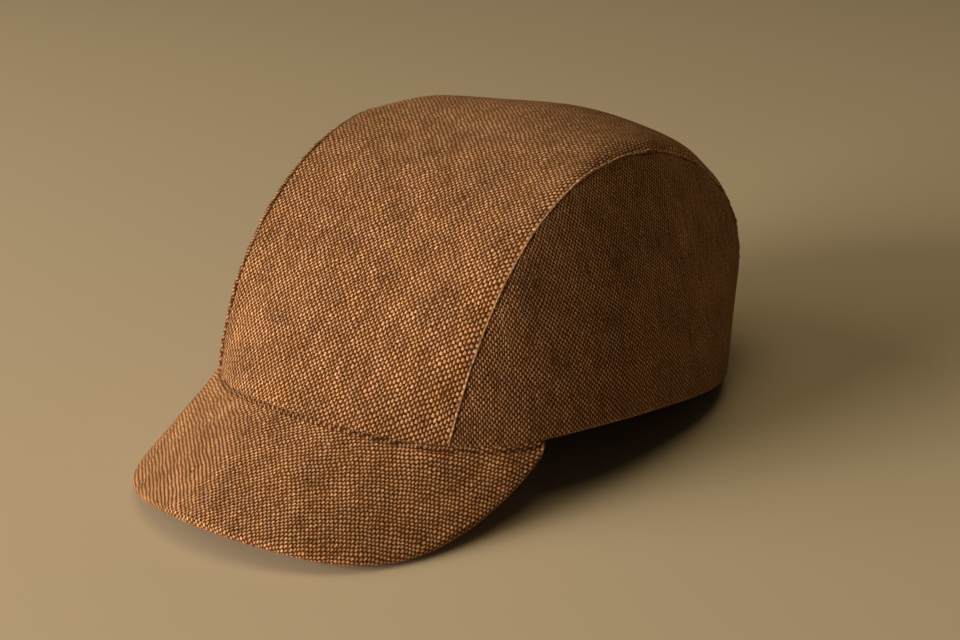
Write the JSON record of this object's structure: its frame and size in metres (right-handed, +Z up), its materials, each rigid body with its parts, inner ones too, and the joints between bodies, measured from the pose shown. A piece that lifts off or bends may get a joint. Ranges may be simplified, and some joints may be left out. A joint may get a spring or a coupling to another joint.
{
  "type": "tweed cap",
  "caption": "Soft wool tweed cap with a front-to-back crown panel between side panels, a short curved cloth-covered visor, lining and sweatband.",
  "frame": {"origin": "on the table plane, under the middle of the cap's outline", "axes": "+Z up, the cap faces -Y, the wearer's left is +X"},
  "size_m": [0.1672, 0.2582, 0.1075],
  "materials": {
    "tweed": "nailhead wool tweed, tan dots on dark brown",
    "canvas": "woven cotton interlining",
    "lining": "satin twill lining",
    "tape": "herringbone cotton tape",
    "band": "ribbed cotton sweatband",
    "board": "matt polyethylene sheet"
  },
  "bodies": {
    "root": {"crown_centre_panel": "tweed", "crown_side_panel_left": "tweed", "crown_side_panel_right": "tweed", "visor_top_cover": "tweed", "visor_under_cover": "tweed", "canvas_centre": "canvas", "canvas_side_left": "canvas", "canvas_side_right": "canvas", "lining_centre": "lining", "lining_side_left": "lining", "lining_side_right": "lining", "seam_tape_left": "tape", "seam_tape_right": "tape", "hem_stay_tape": "tape", "sweatband": "band", "visor_board": "board"}
  },
  "joints": []
}
